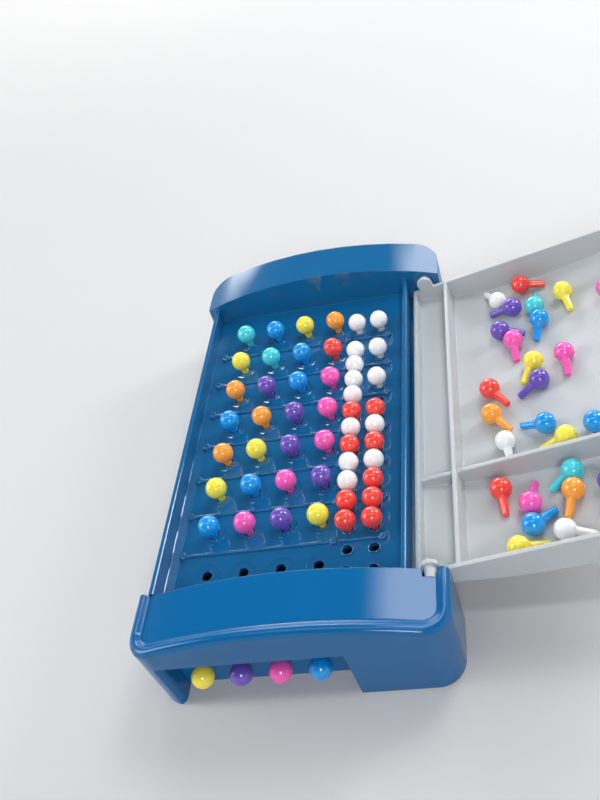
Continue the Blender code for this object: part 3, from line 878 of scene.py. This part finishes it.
# pegs lying in the open tray, each as colour, millimetres out from the hinge,
# millimetres along it, and heading of the stem in degrees
hinge = next(joint for joint in record["behaviour"]["joints"] if joint["name"] == "tray_hinge")
lyingPegs = {
    "tilt": math.radians(180 + hinge["range_deg"][0]),
    "floorBelowAxis": 0.01635,
    "floorRadius": 0.1782,
    "nodeGap": 0.0003,
    "looseGap": 0.00005,
    "pegs": [
        ("red", 41.6, 71.5, -5),
        ("white", 30.6, 64.9, 122),
        ("purple", 36.7, 58.0, 174),
        ("yellow", 59.2, 58.9, -82),
        ("teal", 46.2, 55.3, 83),
        ("blue", 47.4, 46.2, -108),
        ("purple", 30.1, 45.4, -14),
        ("pink", 35.2, 37.8, -92),
        ("yellow", 42.2, 22.6, -123),
        ("purple", 43.5, 11.6, -154),
        ("pink", 55.1, 22.4, -92),
        ("pink", 77.1, 50.4, -60),
        ("red", 23.4, 12.3, -53),
        ("orange", 23.3, -1.5, -53),
        ("white", 27.4, -16.2, -85),
        ("blue", 43.4, -11.8, 160),
        ("yellow", 50.2, -20.4, -171),
        ("blue", 61.4, -17.4, 32),
        ("teal", 50.4, -36.6, -153),
        ("red", 24.1, -38.4, -89),
        ("pink", 34.1, -46.7, 79),
        ("orange", 49.6, -44.7, -112),
        ("blue", 34.0, -56.0, 36),
        ("white", 44.6, -60.4, -17),
        ("yellow", 28.4, -64.4, 6),
        ("orange", 61.2, -62.0, 20),
        ("purple", 62.4, -45.1, 10),
    ],
}
axisX, axisZ = hinge["pos_m"][0], hinge["pos_m"][2]
trayTurn = Matrix.Translation((axisX, 0, axisZ)) @ Matrix.Rotation(-lyingPegs["tilt"], 4, "Y")


def floorHeight(outward):
    # the tray's arched floor, measured up from the hinge axis with the tray flat
    radius = lyingPegs["floorRadius"]
    rise = radius - math.sqrt(radius**2 - (outward - axisX) ** 2)
    return rise - lyingPegs["floorBelowAxis"]


def lyingPlace(outward, along, heading, ballRadius, gap):
    # ball and stem tip both lie on the floor
    tipRadius, stemReach = pegValues["tipRadius"], pegValues["stemReach"]
    reach = stemReach * math.cos(math.asin((ballRadius - tipRadius) / stemReach))
    tipOutward = outward + reach * math.cos(heading)
    tipAlong = along + reach * math.sin(heading)
    ball = Vector((outward, along, floorHeight(outward) + gap + ballRadius))
    tip = Vector((tipOutward, tipAlong, floorHeight(tipOutward) + gap + tipRadius))
    turn = (ball - tip).to_track_quat("Z", "Y").to_matrix().to_4x4()
    return trayTurn @ Matrix.Translation(ball) @ turn


for index, (colorName, outward, along, heading) in enumerate(lyingPegs["pegs"]):
    nodeName = f"spare_peg_{index + 1}"
    hasNode = nodeName in slotOf
    kind = "key" if colorName == "white" else "code"
    gap = lyingPegs["nodeGap"] if hasNode else lyingPegs["looseGap"]
    lying = (outward / 1000, along / 1000, math.radians(heading))
    place = lyingPlace(*lying, ballRadii[kind], gap)
    if hasNode:
        peg = standPeg("lying_" + nodeName, kind, colorName, place, nodeName)
        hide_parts(nodeName)
    else:
        standPeg(f"loose_peg_{index + 1}", kind, colorName, place, "tray")
print("lying pegs:", len(lyingPegs["pegs"]))


# floor, light and camera
stageValues = {
    "floorColor": (0.64, 0.64, 0.645),
    "floorRoughness": 0.8,
    "floorSize": 12.0,
    "floorParts": 8,
    "floorDrop": 0.0002,
    "floorFade": (0.30, 1.1),
    "horizonColor": (1.0, 1.0, 1.0),
    "overheadColor": (0.10, 0.11, 0.12),
    "gradient": (0.10, 0.55),
    "lightShare": 0.84,  # the world's strength as light; seen or mirrored, it is 1
}


def seenRays(tree):
    # 1 for what the camera sees, directly, mirrored or through glass
    rays = addNode(tree, "ShaderNodeLightPath").outputs
    seen = maths(tree, "MAXIMUM", rays["Is Camera Ray"], rays["Is Glossy Ray"])
    return maths(tree, "MAXIMUM", seen, rays["Is Transmission Ray"])


def buildFloor():
    values = stageValues
    parts = values["floorParts"]
    mesh = bpy.data.meshes.new("studioFloor")
    bm = bmesh.new()
    bmesh.ops.create_grid(bm, x_segments=parts, y_segments=parts, size=values["floorSize"] / 2)
    bm.to_mesh(mesh)
    bm.free()
    floor = bpy.data.objects.new("studioFloor", mesh)
    bpy.context.scene.collection.objects.link(floor)
    floor.location.z = -values["floorDrop"]
    material = bpy.data.materials.new("paleFloor")
    material.use_nodes = True
    tree = material.node_tree
    shader = tree.nodes["Principled BSDF"]
    shader.inputs["Roughness"].default_value = values["floorRoughness"]
    shader.inputs["Specular IOR Level"].default_value = 0.0
    shader.inputs["Emission Color"].default_value = (1, 1, 1, 1)
    # away from the object the floor runs out into the white of the backdrop
    place = addNode(tree, "ShaderNodeTexCoord").outputs["Object"]
    away = addNode(tree, "ShaderNodeVectorMath", [(place, 0)], operation="LENGTH")
    fade = ramp(tree, away.outputs["Value"], *values["floorFade"], shape="SMOOTHSTEP")
    bare = addNode(tree, "ShaderNodeMix", [(fade, "Factor")], data_type="RGBA")
    bare.inputs[6].default_value = (*values["floorColor"], 1)
    bare.inputs[7].default_value = (0, 0, 0, 1)
    tree.links.new(bare.outputs[2], shader.inputs["Base Color"])
    white = maths(tree, "MULTIPLY", seenRays(tree), fade)
    tree.links.new(white, shader.inputs["Emission Strength"])
    mesh.materials.append(material)


def buildWorld():
    # white round the horizon and dark overhead, as between soft boxes in a studio
    values = stageValues
    world = bpy.data.worlds.new("studioWorld")
    bpy.context.scene.world = world
    world.use_nodes = True
    tree = world.node_tree
    background = tree.nodes["Background"]
    toward = addNode(tree, "ShaderNodeTexCoord").outputs["Generated"]
    height = addNode(tree, "ShaderNodeSeparateXYZ", [(toward, 0)]).outputs["Z"]
    climb = ramp(tree, height, *values["gradient"], shape="SMOOTHSTEP")
    sky = addNode(tree, "ShaderNodeMix", [(climb, "Factor")], data_type="RGBA")
    sky.inputs[6].default_value = (*values["horizonColor"], 1)
    sky.inputs[7].default_value = (*values["overheadColor"], 1)
    tree.links.new(sky.outputs[2], background.inputs["Color"])
    strength = addNode(tree, "ShaderNodeMix", [(seenRays(tree), "Factor")], data_type="FLOAT")
    strength.inputs[2].default_value = values["lightShare"]
    strength.inputs[3].default_value = 1.0
    tree.links.new(strength.outputs[0], background.inputs["Strength"])


softboxValues = {
    "fade": (0.35, 1.0),  # shares of the way from the middle to the rim
    "target": (0.03, 0.0, 0.02),
    "boxes": {
        "backSoftbox": {"energy": 1.4, "size": (0.38, 0.30), "place": (0.28, 0.72, 0.50)},
        "overSoftbox": {"energy": 6.2, "size": (0.50, 0.50), "place": (0.30, 0.38, 0.79)},
        "rightSoftbox": {"energy": 7.5, "size": (0.26, 0.34), "place": (0.68, 0.48, 0.42)},
        "sideSoftbox": {"energy": 10.0, "size": (0.55, 0.90), "place": (-0.80, -0.05, 0.50)},
        "frontSoftbox": {"energy": 8.8, "size": (0.44, 0.44), "place": (0.24, -0.74, 0.66)},
        "stripSoftbox": {"energy": 4.0, "size": (1.6, 0.14), "place": (0.03, -0.12, 0.92)},
        "rimSoftbox": {"energy": 12.0, "size": (1.00, 0.26), "place": (-0.22, 1.00, 0.40)},
    },
}


def addSoftbox(name, energy, size, place):
    # brightest in the middle and fading to its rim, as a diffuser is
    data = bpy.data.lights.new(name, "AREA")
    data.energy = energy
    data.shape = "RECTANGLE"
    data.size, data.size_y = size
    data.use_nodes = True
    tree = data.node_tree
    spot = addNode(tree, "ShaderNodeNewGeometry").outputs["Parametric"]
    centred = [(spot, 0), ((0.5, 0.5, 0.0), 1)]
    away = addNode(tree, "ShaderNodeVectorMath", centred, operation="DISTANCE").outputs["Value"]
    start, end = [reach / 2 for reach in softboxValues["fade"]]
    fade = ramp(tree, away, start, end, ends=(1.0, 0.0), shape="SMOOTHSTEP")
    tree.links.new(fade, tree.nodes["Emission"].inputs["Strength"])
    lamp = bpy.data.objects.new(name, data)
    lamp.location = place
    toward = Vector(softboxValues["target"]) - Vector(place)
    lamp.rotation_euler = toward.to_track_quat("-Z", "Y").to_euler()
    lamp.visible_camera = False
    bpy.context.scene.collection.objects.link(lamp)


cameraValues = {
    "focalPixels": 861.30,
    "azimuth": -0.27510,
    "elevation": 0.74403,
    "roll": 0.33283,
    "place": (0.09273, -0.23262, 0.28321),
    "centrePixels": (54.7, -30.8),
    "frameHeight": 800,
    "sensor": 36.0,
    "clipStart": 0.01,
}


def buildCamera():
    values = cameraValues
    azimuth, elevation, roll = values["azimuth"], values["elevation"], values["roll"]
    level = math.cos(elevation)
    forward = Vector((math.sin(azimuth) * level, math.cos(azimuth) * level, -math.sin(elevation)))
    right = forward.cross(Vector((0, 0, 1))).normalized()
    down = forward.cross(right)
    turnedRight = math.cos(roll) * right + math.sin(roll) * down
    turnedDown = -math.sin(roll) * right + math.cos(roll) * down
    data = bpy.data.cameras.new("photoCamera")
    data.sensor_fit = "AUTO"
    data.sensor_width = values["sensor"]
    data.lens = values["focalPixels"] / values["frameHeight"] * values["sensor"]
    data.shift_x = -values["centrePixels"][0] / values["frameHeight"]
    data.shift_y = values["centrePixels"][1] / values["frameHeight"]
    data.clip_start = values["clipStart"]
    camera = bpy.data.objects.new("photoCamera", data)
    basis = Matrix((turnedRight, -turnedDown, -forward)).transposed().to_4x4()
    camera.matrix_world = Matrix.Translation(values["place"]) @ basis
    bpy.context.scene.collection.objects.link(camera)
    bpy.context.scene.camera = camera


buildFloor()
buildWorld()
for name, box in softboxValues["boxes"].items():
    addSoftbox(name, **box)
buildCamera()
bpy.context.scene.view_settings.view_transform = "Standard"
print("stage: floor, world, softboxes, camera")
